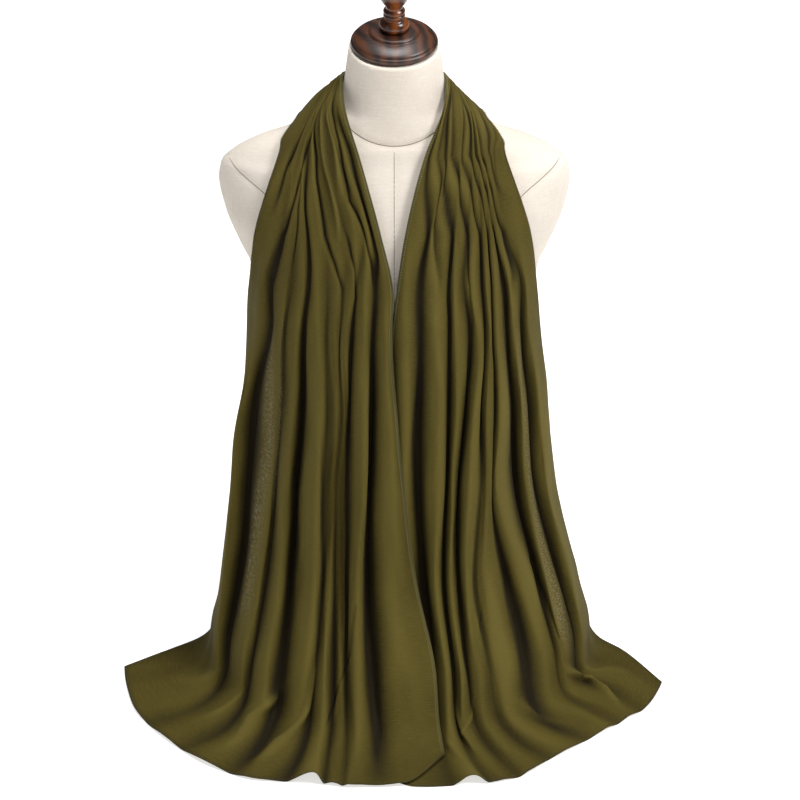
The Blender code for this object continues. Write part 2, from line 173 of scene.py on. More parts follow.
class Finish:
    """A material with one Principled shader, and short ways to feed it."""

    def __init__(self, name, **constants):
        self.material = bpy.data.materials.new(name)
        self.material.use_nodes = True
        self.tree = self.material.node_tree
        self.shader = self.tree.nodes["Principled BSDF"]
        for socket, value in constants.items():
            self.shader.inputs[socket.replace("_", " ")].default_value = value

    def node(self, kind, settings=None, values=(), output=0):
        """Any node: its type, its settings, then what its sockets get. Returns one of its outputs."""
        made = self.tree.nodes.new(kind)
        for key, value in (settings or {}).items():
            setattr(made, key, value)
        for key, value in values.items() if isinstance(values, dict) else enumerate(values):
            if isinstance(value, Value):
                self.tree.links.new(value.socket, made.inputs[key])
            else:
                made.inputs[key].default_value = value
        return Value(self, made.outputs[output])

    def feed(self, socket, value):
        self.tree.links.new(value.socket, self.shader.inputs[socket])

    def surface(self):
        """Where a point is, in metres."""
        return self.node("ShaderNodeTexCoord", output="Object")

    def map(self, name="cloth"):
        return self.node("ShaderNodeUVMap", {"uv_map": name})

    def mask_of(self, name):
        return self.node("ShaderNodeAttribute", {"attribute_name": name}, output="Fac")

    def parts(self, vector):
        first = self.node("ShaderNodeSeparateXYZ", values=[vector])
        return [Value(self, socket) for socket in first.socket.node.outputs]

    def stretched(self, vector, scale):
        return self.node("ShaderNodeVectorMath", {"operation": "MULTIPLY"}, [vector, scale])

    def noise(self, vector, scale=1.0, detail=2.0, roughness=0.5):
        values = {"Vector": vector, "Scale": scale, "Detail": detail, "Roughness": roughness}
        return self.node("ShaderNodeTexNoise", values=values)

    def step(self, value, low, high):
        """A soft step: 0 below low, 1 above high."""
        return self.node("ShaderNodeMapRange", {"interpolation_type": "SMOOTHSTEP"}, [value, low, high])

    def mixed(self, factor, first, second):
        return self.node("ShaderNodeMix", {"data_type": "RGBA"}, {0: factor, 6: first, 7: second}, output=2)

    def bump(self, height, distance, strength=1.0):
        return self.node("ShaderNodeBump", values={"Height": height, "Distance": distance, "Strength": strength})


def seen(red, green, blue):
    """A colour as a screen shows it, in the linear values that a shader takes."""
    return tuple(round((c / 255) ** 2.2, 4) for c in (red, green, blue)) + (1.0,)


# %% [markdown]
# The form's body is a stack of squared ovals. The short table that shaped the solid shapes this skin too, with far
# more rings, so the shoulders round off with no facets.

# %% The body's table
BODY = np.array([
    # z, half width, front, back in mm, and how square the oval is
    (12.3, 165, 104, 108, 2.3),
    (60, 162, 105, 110, 2.3),
    (135, 140, 98, 102, 2.3),
    (220, 115, 84, 82, 2.3),
    (290, 121, 90, 80, 2.3),
    (350, 136, 103, 84, 2.4),
    (415, 148, 115, 90, 2.5),
    (470, 158, 105, 94, 2.4),
    (493, 169, 100, 95, 2.3),
    (528, 183, 91, 94, 2.2),
    (560, 189, 80, 86, 2.1),
    (577, 186, 73, 78, 2.1),
    (589, 174, 68, 71, 2.0),
    (602, 149, 64, 66, 2.0),
    (612, 118, 60, 61, 2.0),
    (624, 86, 57, 57, 2.0),
    (640, 61, 54.5, 55, 2.0),
    (660, 54, 52, 53.5, 2.0),
    (685, 50.2, 49, 50.5, 2.0),
]) / (1000, 1000, 1000, 1000, 1)


def slopes(knots, values):
    """Slopes for a smooth run through the values that never overshoots them."""
    knots = knots.reshape(-1, *[1] * (values.ndim - 1))
    step = np.diff(knots, axis=0)
    rise = np.diff(values, axis=0) / step
    out = np.zeros_like(values, dtype=float)
    a, b = rise[:-1], rise[1:]
    same = a * b > 0
    out[1:-1] = np.where(same, 2 * a * b / np.where(same, a + b, 1), 0)
    out[0], out[-1] = rise[0], rise[-1]
    return out


def smooth(knots, values, at, free=False):
    """The values of a table between its rows; a free run may swing past them a little."""
    knots, values, at = np.asarray(knots, float), np.asarray(values, float), np.asarray(at, float)
    m = np.gradient(values, knots, axis=0) if free else slopes(knots, values)
    i = np.clip(np.searchsorted(knots, at, side="right") - 1, 0, len(knots) - 2)
    gap = (knots[i + 1] - knots[i])
    u = (at - knots[i]) / gap
    wide = (slice(None),) + (None,) * (values.ndim - 1)
    u, gap = u[wide], gap[wide]
    return ((1 + 2 * u) * (1 - u) ** 2 * values[i] + u * (1 - u) ** 2 * gap * m[i]
            + u * u * (3 - 2 * u) * values[i + 1] + u * u * (u - 1) * gap * m[i + 1])


def oval(half, deep, power, angle):
    """A point of a squared oval: angle 0 is the front, 90 degrees the side."""
    s, c = np.sin(angle), np.cos(angle)
    return half * np.sign(s) * np.abs(s) ** (2 / power), -deep * np.sign(c) * np.abs(c) ** (2 / power)


# %% [markdown]
# The cover is cream linen: a plain weave, matt, with faint slubs and a slightly uneven cream. Two crossed waves make
# the weave, and stretched noise breaks it up.

# %% Cream linen


def cream_linen():
    cover = Finish("cream_cover", Roughness=0.85, Sheen_Weight=0.15, Sheen_Roughness=0.5)
    at = cover.surface()
    x, y, z = cover.parts(at)
    drift = cover.noise(at, 70.0)
    warp = ((x + y * 0.6 + drift * 0.0006) * (2 * math.pi / 0.0012)).sine()
    weft = ((z + drift * 0.0006) * (2 * math.pi / 0.0012)).sine()
    slub = cover.noise(cover.stretched(at, (90.0, 90.0, 1400.0)))
    upright = cover.noise(cover.stretched(at, (1200.0, 1200.0, 80.0)))
    cloud = cover.noise(at, 12.0, 3.0)
    tone = cover.step(cloud * 0.5 + slub * 0.25 + upright * 0.25, 0.36, 0.64)
    cover.feed("Base Color", cover.mixed(tone, seen(224, 212, 197), seen(240, 230, 217)))
    cover.feed("Normal", cover.bump(warp * weft * 0.35 + slub * 0.6 + upright * 0.6, 0.0003, 0.6))
    return cover.material


# %% [markdown]
# The cover is sewn from panels. A seam rings the base of the neck, one runs down the middle of the front and of the
# back, and one goes round each arm stump. Each is a line of points on the skin, and the padding dips a little there.

# %% Seam lines
NECK_SEAM = (0.609, 0.640, 0.622)  # its height at the front, the side and the back
# In mm, across and up, from the top of the shoulder, round the stump to its underside.
ARM_SEAM = [(178, 585.2), (165, 575.5), (152, 567), (142, 560.5), (133, 553), (126, 542), (124, 526), (127, 508),
            (135, 492), (147, 479), (157.5, 470)]
SEAM_LOW, SEAM_HIGH = 0.02, 0.99  # where the two centre seams start, and how near they come to the neck seam


def ring_sizes(z):
    z = np.atleast_1d(np.asarray(z, float))
    sizes = smooth(BODY[:, 0], BODY[:, 1:], np.minimum(z, BODY[-1, 0]))
    sizes[:, :3] -= np.maximum(z - BODY[-1, 0], 0)[:, None] * 0.15
    return sizes.T


def on_front(x, z, back=False):
    """The point of the skin at this width and height, on its front or its back."""
    half, front, rear, power = ring_sizes(z)
    deep = (rear if back else -front) * np.maximum(1 - np.abs(np.asarray(x) / half) ** power, 0) ** (1 / power)
    return np.stack([np.asarray(x) + 0 * deep, deep, np.asarray(z) + 0 * deep], -1)


def neck_line(angle):
    low, middle, high = NECK_SEAM
    toward = np.cos(angle)
    height = middle + np.where(toward > 0, low - middle, high - middle) * np.abs(toward) ** 1.5
    x = 0.0600 * np.sin(angle)
    return np.where(toward[:, None] > 0, on_front(x, height), on_front(x, height, back=True))


def arm_line(side):
    knots = np.array(ARM_SEAM) / 1000
    run = np.linspace(0, len(knots) - 1, 60)
    line = smooth(np.arange(len(knots)), knots, run, free=True)
    half = ring_sizes(line[:, 1])[0]
    x = np.minimum(line[:, 0], half * 0.9995)
    front, rear = on_front(x, line[:, 1]), on_front(x, line[:, 1], back=True)
    return np.concatenate([front, rear[::-1]]) * (side, 1, 1)


def centre_line(top, back=False):
    """A seam down the middle, from just above the board to just below the neck seam."""
    share = np.linspace(SEAM_LOW, SEAM_HIGH, 120)
    return on_front(0 * share, SEAM_LOW + (top - SEAM_LOW) * share, back)


around = np.linspace(0, 2 * math.pi, 161)[:-1]
SEAMS = {
    "neck": (neck_line(around), True),
    "left_arm": (arm_line(-1), True),
    "right_arm": (arm_line(1), True),
    "front": (centre_line(NECK_SEAM[0]), False),
    "back": (centre_line(NECK_SEAM[2], back=True), False),
}
print("seams:", {name: f"{run_of(line)[-1]:.3f} m" for name, (line, _) in SEAMS.items()})

# %% [markdown]
# The skin is rings of points from the board to the cap. Points near a seam sink by the same small amount, and the top
# follows the plane under the tilted cap.

# %% The form's body
TILT = math.radians(18)
CAP_CENTRE = Vector((0, -0.004, 0.712))
leaning = Matrix.Translation(CAP_CENTRE) @ Matrix.Rotation(TILT, 4, "X")
AROUND = 224  # points in one ring of the skin
DIP_DEEP, DIP_WIDE = 0.0009, 0.0035  # the dip of the padding at a seam


def body_skin():
    stretches = [(0.0123, 0.44, 70), (0.44, 0.60, 64), (0.60, 0.66, 40), (0.66, 0.735, 22)]
    heights = np.concatenate([np.linspace(*stretch)[:-1] for stretch in stretches] + [[stretches[-1][1]]])
    turn = turns(AROUND)
    half, front, back, power = (size[:, None] for size in ring_sizes(heights))
    x, y = oval(half, 1.0, power, turn[None, :])
    skin = np.stack([x, y * np.where(y < 0, front, back), np.repeat(heights[:, None], AROUND, 1)], -1)
    outward = unit(skin * (1, 1.6, 0))
    near = np.full(skin.shape[:2], 1.0)
    for line, _ in SEAMS.values():
        for start in range(0, len(line), 10):
            gap = np.linalg.norm(skin[:, :, None] - line[None, None, start:start + 10], axis=-1).min(-1)
            near = np.minimum(near, gap)
    skin = skin - outward * (DIP_DEEP * np.exp(-(near / DIP_WIDE) ** 2))[..., None]
    lid = CAP_CENTRE.z - 0.0102 / math.cos(TILT) - (skin[..., 1] - CAP_CENTRE.y) * math.tan(-TILT)
    skin[..., 2] = np.minimum(skin[..., 2], lid)
    return skin


skin = body_skin()
faces = grid_faces(*skin.shape[:2], closed=True).tolist()
faces += end_faces(len(faces), AROUND)
make_piece("form_cover", skin.reshape(-1, 3), faces, cream_linen(), ["form_body"], "cream_cover")

# %% [markdown]
# The seam itself is a fine ridge half sunk in its dip, with a row of small stitches beside it, as a dressmaker
# topstitches a cover. One thin tube for the ridge and many short ones for the stitches are enough.

# %% Seams and stitches


def row_of_stitches(line, pitch, length, radius, closed=False):
    """Short tubes along a line of points."""
    if closed:
        line = np.concatenate([line, line[:1]])
    run = run_of(line)
    starts = np.arange(0, run[-1] - length, pitch)
    return [thread(values_at(line, run, start + length * np.arange(4) / 3), radius, 4) for start in starts]


def fibres(name, roughness, scale, dark, light, sheen=0.0, height=0.0):
    """A finish for thread, whose colour wanders between two tones."""
    finish = Finish(name, Roughness=roughness, Sheen_Weight=sheen)
    strand = finish.noise(finish.surface(), scale)
    finish.feed("Base Color", finish.mixed(strand, dark, light))
    if height:
        finish.feed("Normal", finish.bump(strand, height, 0.5))
    return finish.material


STITCH_PITCH, STITCH_LONG, STITCH_THICK = 0.0042, 0.0026, 0.00028
seam_tubes, stitch_tubes = [], []
for name, (line, closed) in SEAMS.items():
    outward = unit(line * (1, 1.6, 0))
    seam_tubes.append(thread(line - outward * 0.0010, 0.0005, 6, closed))
    beside = line - outward * 0.0006 + np.array([0, 0, 0.0032] if name == "neck" else [0.0032, 0, 0])
    if name in ("front", "back", "neck"):
        stitch_tubes += row_of_stitches(beside, STITCH_PITCH, STITCH_LONG, STITCH_THICK, closed)
# The seam's ridge is darker than the cover: painted shade of the groove where two panels meet.
seam_linen_painted_shade = fibres("seam_linen_painted_shade", 0.9, 1200.0, seen(120, 108, 94), seen(160, 148, 132))
cotton_thread = fibres("cotton_thread", 0.7, 900.0, seen(205, 196, 182), seen(228, 220, 208))
make_piece("cover_seams", *joined(seam_tubes), seam_linen_painted_shade, slot="cream_cover")
make_piece("cover_stitches", *joined(stitch_tubes), cotton_thread, slot="cream_cover")

# %% [markdown]
# The cap and the finial are turned on a lathe from dark, varnished wood. A lathe piece is one outline spun round its
# axis. Its corners are eased, as sandpaper leaves them: each pass cuts the corners off the outline.

# %% Turned wood shapes
# Radius and height in mm, from the bottom up.
CAP_OUTLINE = [(42.5, -10), (45.2, -9.2), (46, -6.6), (45.6, -4.4), (44.2, -3.4), (43.4, -3), (43, -1.4),
               (40.5, 0.4), (35, 3), (29.6, 4.6), (27.6, 4.8), (26.8, 5.2), (26.2, 6.6), (24.6, 7.8), (22.2, 8.2),
               (17, 8.6)]
FINIAL_OUTLINE = [(12.5, 8.9), (15, 10.4), (16, 13.5), (15.4, 16.5), (13.2, 19.5), (10.6, 20.9), (10, 22.2),
                  (11, 23.2), (11.6, 25), (11.2, 26.6), (10.4, 27.2), (11.2, 28), (11.6, 29.8), (11, 31.6),
                  (9.4, 32.8), (8.6, 34), (9.2, 37), (12.8, 41), (15.6, 47), (16, 53), (14.6, 59), (11, 64),
                  (6, 66.8)]
BOARD_OUTLINE = [(985, 0.4), (994, 1.2), (1000, 3), (1000, 9), (994, 11), (985, 11.9)]  # spun, then scaled to an oval


def eased(outline, passes=2):
    line = np.array(outline) / 1000
    for _ in range(passes):
        a, b = line[:-1], line[1:]
        cut = np.stack([a * 0.75 + b * 0.25, a * 0.25 + b * 0.75], 1).reshape(-1, 2)
        line = np.concatenate([line[:1], cut, line[-1:]])
    return line


def spun(outline, steps, place):
    """An outline turned round its axis, then put in its place."""
    line, turn, place = eased(outline), turns(steps), np.array(place)
    rings = np.stack([line[:, :1] * np.cos(turn), line[:, :1] * np.sin(turn), np.repeat(line[:, 1:], steps, 1)], -1)
    faces = grid_faces(len(line), steps, closed=True).tolist()
    return rings.reshape(-1, 3) @ place[:3, :3].T + place[:3, 3], faces + end_faces(len(faces), steps)


# %% [markdown]
# Dark walnut under satin varnish: long, wavy, slightly darker grain lines, fine pores, and a clear coat on top that
# gives the soft highlights on each step. The finial is the same wood with a redder, glossier varnish.

# %% Varnished walnut


def walnut(name, dark, light, gloss):
    wood = Finish(name, Roughness=gloss, Coat_Weight=0.3, Coat_Roughness=gloss * 0.8)
    at = wood.surface()
    bend = wood.noise(at, 18.0, 3.0)
    x, y, z = wood.parts(at)
    rings = (x * 420.0 + y * 160.0 + bend * 14.0).sine() * 0.5 + 0.5
    pores = wood.noise(wood.stretched(at, (1500.0, 90.0, 1500.0)))
    grain = wood.step(rings * 0.6 + pores * 0.5, 0.2, 0.95)
    wood.feed("Base Color", wood.mixed(grain, dark, light))
    wood.feed("Roughness", pores * 0.12 + (gloss - 0.03))
    wood.feed("Normal", wood.bump(pores + rings * 0.2, 0.00012, 0.35))
    return wood.material


dark_walnut = walnut("dark_walnut", seen(38, 21, 13), seen(86, 50, 30), 0.40)
finial_walnut = walnut("finial_walnut", seen(58, 27, 10), seen(132, 72, 28), 0.26)
plain_board = walnut("plain_board", seen(128, 100, 72), seen(164, 134, 100), 0.5)
oval_board = Matrix.Diagonal((0.158, 0.101, 1, 1))
make_piece("turned_cap", *spun(CAP_OUTLINE, 96, leaning), dark_walnut, ["neck_cap"], "dark_walnut")
make_piece("turned_finial", *spun(FINIAL_OUTLINE, 64, leaning), finial_walnut, ["finial"], "finial_walnut")
make_piece("standing_board", *spun(BOARD_OUTLINE, 128, oval_board), plain_board, ["base_board"], "plain_board")

# %% [markdown]
# Cloth that hangs in folds is best described by its folds. Each tail of the scarf is a table: a column follows one
# ridge or one valley from the shoulder to the hem, and a row is a height. The same table shaped the solid. Here it
# is read far more finely, and the small folds that a solid leaves out are laid on top of it.

# %% The folds of the two tails
LINES = 18
# The left lines are the inner edge, then R1 V1 R2 V2 Rm Vm R3 V3 R4 V4 R5 V5 R6 V6 R7 (a ridge is R, a valley V and a
# small fold m), the outer side and the outer edge. Each number is how far outward the line lies, in mm.
LEFT = {
    "collar": (35.5, 39.8, 46.9, 53.2, 57.9, 64.7, 74.5, 78.3, 82,
        87.9, 93.2, 97.8, 100.8, 104.4, 108.2, 115.1, 121.8, 118.8),
    "chest": (13.3, 19, 23.4, 28.9, 33.1, 43.1, 51.1, 62.4, 71.3,
        83.1, 91.2, 98.3, 103.6, 110.9, 117.4, 133, 148.4, 142.9),
    "vee": (1.2, 8.9, 20.1, 31.7, 39.5, 45.5, 52.4, 62.9, 71,
        81.3, 90.3, 98.9, 108.4, 118.1, 131.2, 142.1, 155.2, 152.5),
    "bust": (2.5, 11, 22.4, 33.3, 44.7, 54.3, 58, 65.8, 72.9, 82.5, 93.8, 105.6, 116.1, 120.6, 130, 148, 160.8, 155.4),
    "under": (-3.7, 8.4, 24.6, 34.6, 48.5, 54.4, 57.8, 63.4, 73.7,
        85.7, 96.7, 112.2, 120.8, 130.3, 147.6, 160.5, 164.5, 160.5),
    "waist": (-12.8, 7.6, 27.2, 36.1, 51.2, 58.9, 63.6, 68.8, 78.9,
        90.1, 104.1, 122.7, 130.3, 137.9, 156.5, 175, 181, 162),
    "low": (-28, 1, 30, 43, 52, 60, 66, 74.5, 82, 93.2, 113, 132, 142, 153, 168, 191.7, 194, 179),
    "bend": (-48, -8, 24, 44, 53, 61, 68, 79.4, 88, 101, 122, 143, 156, 169, 183, 201.2, 208, 200),
    "ground": (-52, -12, 20, 41, 52, 61, 69, 82, 94, 110, 132, 154, 168, 182, 196, 210, 222, 224),
    "spread": (-54, -12, 19, 43, 53, 62, 72, 86, 102, 124, 148, 172, 192, 210, 228, 244, 260, 265),
    "hem": (-55, -12, 18, 45, 54, 62.8, 73, 88, 112, 146, 172, 205, 228, 250, 271, 291, 307, 311),
}
# The right ones are the inner edge, then R1 V1 R2 V2 up to R7 V7 R8, the outer side and the outer edge.
RIGHT = {
    "collar": (31, 39.6, 51.8, 58.6, 67.6, 72.3, 79.5, 84.5, 86.7,
        91.5, 92.4, 97.2, 98.4, 102.9, 103.6, 109, 117.1, 114),
    "chest": (10.9, 21, 35.6, 41.4, 61.4, 67.5, 75.4, 84.6, 90.4,
        96.6, 97.6, 103.6, 104.3, 110.6, 115.1, 130.4, 143.3, 142.7),
    "vee": (2.8, 13.7, 26.9, 45.6, 58, 64.6, 72.7, 82.4, 92.5,
        98.7, 101.9, 107.5, 115.7, 122.8, 132.7, 140.5, 151.4, 149.6),
    "bust": (-3.6, 11.6, 27, 45.1, 58, 66.5, 79.5, 90.7, 95.3,
        102.4, 103.7, 109.6, 118.6, 127.7, 134.1, 143.8, 156.6, 149.3),
    "under": (-5.6, 12, 25.1, 48.9, 57.9, 68.6, 75.3, 88.2, 93.8,
        101.6, 109.2, 116.9, 124.8, 138.9, 142.6, 157.3, 166, 162.3),
    "waist": (-7.5, 10, 25.3, 48.7, 55.6, 65.1, 67.8, 83.6, 96.8,
        104.4, 107, 115.1, 129.5, 144.6, 151.6, 167.6, 174.9, 165.8),
    "low": (-6, 10, 33, 47, 55, 65, 71, 82.8, 92, 105, 124, 144, 154, 167.9, 177, 193.2, 199, 184),
    "bend": (-4, 14, 43, 58, 64, 74.3, 80, 93, 105, 118, 142, 166, 177, 188, 200, 212.9, 222, 214),
    "ground": (-6, 16, 47, 63, 70, 79, 90, 103, 117, 131, 155, 179, 190, 201, 212, 223, 232, 236),
    "spread": (-10, 20, 52, 73, 84, 96, 110, 125, 141, 157, 182, 207, 220, 233, 246, 257, 266, 270),
    "hem": (-15, 24, 60, 84, 99, 114, 130, 147, 165, 184, 208, 231, 245, 259, 273, 288, 299, 303),
}
# How far each line stands off the innermost surface, in hundredths of that height's fold, at six heights.
LEFT_RISE = {
    "collar": (30, 100, 0, 50, 10, 100, 30, 60, 0, 90, 0, 70, 50, 80, 0, 100, 70, 0),
    "bust": (80, 100, 0, 90, 10, 80, 60, 100, 75, 100, 0, 90, 50, 80, 0, 90, 70, 0),
    "waist": (75, 90, 0, 90, 15, 20, 20, 35, 40, 100, 0, 90, 55, 80, 10, 100, 60, 0),
    "bend": (95, 85, 0, 80, 10, 30, 10, 90, 45, 100, 5, 90, 40, 80, 5, 80, 50, 10),
    "spread": (100, 80, 10, 90, 30, 60, 10, 150, 10, 90, 0, 110, 20, 60, 10, 50, 20, 0),
    "hem": (100, 90, 50, 90, 30, 80, 10, 330, 0, 50, 0, 90, 10, 60, 0, 50, 10, 0),
}
RIGHT_RISE = {
    "collar": (30, 100, 0, 90, 20, 100, 0, 90, 10, 90, 0, 80, 10, 80, 0, 100, 70, 0),
    "bust": (15, 80, 0, 90, 0, 90, 10, 100, 20, 90, 40, 90, 0, 90, 10, 100, 70, 0),
    "waist": (10, 60, 0, 85, 10, 70, 10, 100, 80, 95, 70, 100, 0, 60, 40, 100, 60, 0),
    "bend": (5, 30, 0, 75, 20, 90, 50, 100, 70, 90, 0, 50, 30, 70, 30, 80, 50, 10),
    "spread": (0, 15, 0, 100, 30, 60, 10, 80, 20, 90, 0, 50, 20, 60, 20, 50, 20, 0),
    "hem": (0, 10, 0, 240, 20, 40, 0, 70, 10, 50, 0, 60, 10, 50, 10, 40, 10, 0),
}
# Each height down the drape: z, how far the innermost surface clears the form at the left side, the right side
# and the front, its squareness on the left and the right, the height of a fold, and how far in degrees the outer
# edge turns back behind the outermost roll.
DRAPE = {  # z, left, right, front, squareness left and right, fold, turn
    "collar": (599, 3, 3, 9, 2.1, 2.1, 4, 0),
    "chest": (523, 3.2, 3.2, 9, 2.3, 2.3, 6.5, 0),
    "vee": (471, 2.8, 2.8, 7.5, 2.4, 2.4, 7.5, 1),
    "bust": (423, 5.5, 5.5, 6.5, 2.5, 2.5, 10, 3),
    "under": (336, 24, 25, 21, 2.4, 2.4, 20, 7),
    "waist": (245, 48, 48, 38, 2.3, 2.3, 27, 9),
    "low": (135, 41, 46, 42, 2.3, 2.3, 28, 8),
    "bend": (55, 38, 51, 88, 2.35, 2.3, 24, 6),
    "ground": (7, 60, 73, 142, 2.4, 2.2, 14, 4),
    "spread": (0.9, 102, 110, 187, 2.4, 2.1, 8, 1),
    "hem": (0.85, 151, 160, 219, 2.4, 2, 4.5, 0),
}
# How far the hem's line stands forward (-) or back (+) of its oval at each line, in mm.
HEM_TRIM = {"left": (48, -2, -4, -6, -5, -4, -3, -4, -6, -13, -13, -11, -7, -6, -8, -12, -6, -4),
            "right": (15, -5, -7, -9, -12, -13, -13, -9, 2, 5, 9, 8, 5, 2, -6, -10, -6, -4)}
# Where the gathers come over the shoulder: their inner and outer ends, and how high they bulge between them, in mm.
NECK_SIDE = {
    "left": {"top": ((54, 0, 669), (104, 0, 623), 4.0), "side": ((51, -46, 647), (117.4, -34, 609.6), 5.0)},
    "right": {"top": ((53, 0, 669), (97, 0, 625), -1.0), "side": ((51, -46, 647), (113.0, -34, 609.6), 3.5)},
}
# Where the two rows at the shoulder and those of the drape lie along the cloth, as a share of its 832 mm.
ALONG = np.array([0, 48, 106, 186, 240, 290, 378, 470, 582, 680, 752, 798, 832]) / 832


def rise_table(rises):
    """The share of a fold at every row, from the heights that the table names."""
    rows = list(DRAPE)
    at = [rows.index(name) for name in rises]
    return smooth(at, np.array(list(rises.values())) / 100, np.arange(len(rows)))


# %% [markdown]
# Real folds are never even. Small creases are placed one by one from a close look at the cloth: a few points along the
# tail, a width and a height. Gathers fan out below each shoulder, soft sags sit between the big folds, and
# sharper breaks lie where the cloth turns on to the table. Below them all, slow random waves keep any stretch from
# looking ruled.

# %% Small creases
CREASES = {  # points (s, t) in thousandths, from start to end, then width and height in mm
    "left": [
        ((600, 0), (760, 26), (775, 94), (807, 132), (858, 154), (897, 205), 2.4, -2.2),
        ((500, 50), (578, 118), (613, 140), (690, 166), (775, 196), (810, 228), (807, 280), (825, 360), 2.4, -2.4),
        ((598, 144), (642, 166), (693, 194), (713, 254), (715, 290), 1.6, -1.4),
        ((550, 100), (568, 138), (593, 196), (575, 268), (580, 340), 2.4, -2.4),
        ((500, 50), (460, 128), (487, 158), (475, 224), (443, 248), (370, 290), (350, 340), 2.2, -2.4),
        ((362, 200), (325, 246), (273, 270), (228, 300), (235, 400), 2, -2),
        ((180, 0), (147, 72), (165, 102), (198, 126), (270, 180), (200, 222), (140, 254), (118, 300), 2.4, -2.4),
        ((83, 40), (95, 106), (113, 154), (118, 202), (98, 246), (113, 300), 3, -2.6),
        ((360, 20), (340, 90), (360, 160), (400, 240), 2.2, 1.3), ((230, 30), (240, 100), (330, 190), 2.2, 1.2),
        ((50, 300), (40, 720), 5, 1.2), ((155, 360), (145, 780), 4, 1.2), ((265, 340), (260, 800), 4, 1.6),
        ((440, 400), (450, 740), 5, -0.8), ((500, 360), (505, 800), 5.5, 1), ((560, 300), (562, 800), 3, 1.4),
        ((620, 380), (625, 780), 4, 1.2), ((740, 380), (745, 800), 4.5, 1.5), ((860, 400), (850, 800), 5, 1.4),
        ((920, 400), (930, 780), 4.5, -1.2), ((170, 700), (212, 798), (325, 850), (403, 908), 3, -3.2),
        ((120, 700), (125, 788), (118, 846), (92, 932), 3, -2.6),
        ((560, 830), (600, 868), (657, 928), (647, 990), 6, 3.6),
        ((460, 790), (478, 820), (490, 874), (550, 940), (555, 995), 6, 3.6), ((720, 860), (800, 980), 5, 1.8),
        ((860, 870), (930, 970), 5, 1.4), ((300, 840), (340, 900), 5, 2),
    ],
    "right": [
        ((20, 30), (37, 126), (83, 178), (113, 222), (125, 310), 2.4, -2.4),
        ((90, 20), (90, 126), (150, 178), (190, 222), (185, 310), 2.2, -2.2),
        ((140, 0), (125, 126), (205, 178), (233, 222), (230, 340), 2.4, -2.6),
        ((180, 0), (190, 126), (300, 178), (358, 222), (400, 288), (360, 360), 2.8, -2.2),
        ((300, 0), (280, 126), (385, 178), (463, 222), (475, 320), 2.4, -1.8),
        ((380, 0), (350, 126), (490, 178), (590, 222), (590, 320), 2.4, -1.7),
        ((460, 0), (450, 126), (620, 178), (705, 222), (690, 320), 2.6, -1.9),
        ((560, 0), (560, 126), (740, 178), (820, 222), (770, 320), 2.6, -1.9),
        ((700, 0), (720, 120), (870, 190), 3, -1.2), ((60, 360), (55, 800), 6, 1.2),
        ((185, 340), (180, 800), 4, 1.2), ((330, 360), (335, 800), 3.6, 1.3),
        ((440, 360), (445, 800), 3.6, 1.4), ((527, 500), (465, 575), 2, -1.6),
        ((500, 400), (505, 760), 3.6, -1), ((560, 360), (565, 780), 4, 1.4),
        ((688, 290), (688, 360), (685, 600), 2, -1.6), ((800, 400), (800, 800), 5.5, 1),
        ((930, 400), (935, 780), 5, 1.3), ((740, 840), (850, 915), (810, 955), (775, 990), 5, 4.2),
        ((590, 660), (588, 736), (583, 860), 3.4, -3.2), ((682, 670), (728, 752), (782, 890), 3.4, -3),
        ((503, 720), (468, 762), (427, 800), 2.6, -2.4), ((395, 850), (318, 894), (193, 935), 3.4, 2.2),
        ((145, 900), (163, 944), (190, 975), 3.4, 2.4), ((550, 850), (620, 980), 5, 1.8),
        ((240, 840), (280, 960), 5, 1.6), ((860, 860), (930, 975), 5, 1.2),
    ],
}
# Each of these holds heights t and the value there. The cloth's width is in metres.
WIDTH_AT = ([0, 0.13, 0.22, 0.29, 0.35, 0.45, 0.57, 1.0], [0.09, 0.107, 0.169, 0.209, 0.29, 0.382, 0.44, 0.47])
CREASE_STRENGTH = ([0, 0.25, 0.33, 0.84, 0.9, 1], [2.3, 2.3, 1.0, 1.0, 1.8, 1.6])
PINCH_DEPTH = ([0.0, 0.04, 0.12, 0.24, 0.36, 0.55, 0.82, 0.9], [0.5, 1.6, 2.6, 3.0, 2.6, 1.8, 1.6, 0.0])  # mm
PINCH_WIDE = ([0.0, 0.13, 0.3, 0.5, 0.9], [1.0, 1.5, 2.6, 3.4, 4.0])  # mm
FOLD_SHARE = ([0, 0.08, 0.14, 0.22, 0.33], [0.7, 0.35, 0.18, 0.28, 1])  # near the shoulder the creases take over
WAVE_SHARE = ([0, 0.1, 0.3, 0.5, 0.85, 1], [0, 0.25, 0.5, 1.0, 1.0, 0.5])
LYING = ([0, 0.86, 0.93, 1], [0, 0, 1, 1])  # 1 where the cloth lies on the table, and nothing goes below it


def fading(t, first, last, reach, more=0.0):
    """1 between first and last, falling to 0 at both ends."""
    return np.clip(np.minimum(t - first, last - t) / reach + more, 0, 1)


def creases(side, s, t):
    """How far each point stands off the big folds, in metres."""
    wide = np.interp(t, *WIDTH_AT)[:, None]
    out = np.zeros((len(t), len(s)))
    for *points, width, height in CREASES[side]:
        places, heights = np.array(points).T / 1000
        centre = np.interp(t, heights, places) + 0.003 * np.sin(t * 60 + places[0] * 40)
        fade = fading(t, heights[0], heights[-1], 0.045, 0.15 * (heights[0] == 0))
        off = np.abs(s[None, :] - centre[:, None]) * wide / (width / 1000)
        shape = np.exp(-off ** 2) if height > 0 else np.exp(-off ** 1.3) - 0.22 * np.exp(-(off / 2.6) ** 2)
        strength = np.interp(t, *CREASE_STRENGTH)
        out += height / 1000 * (strength * fade * fade * (3 - 2 * fade))[:, None] * shape
    return out


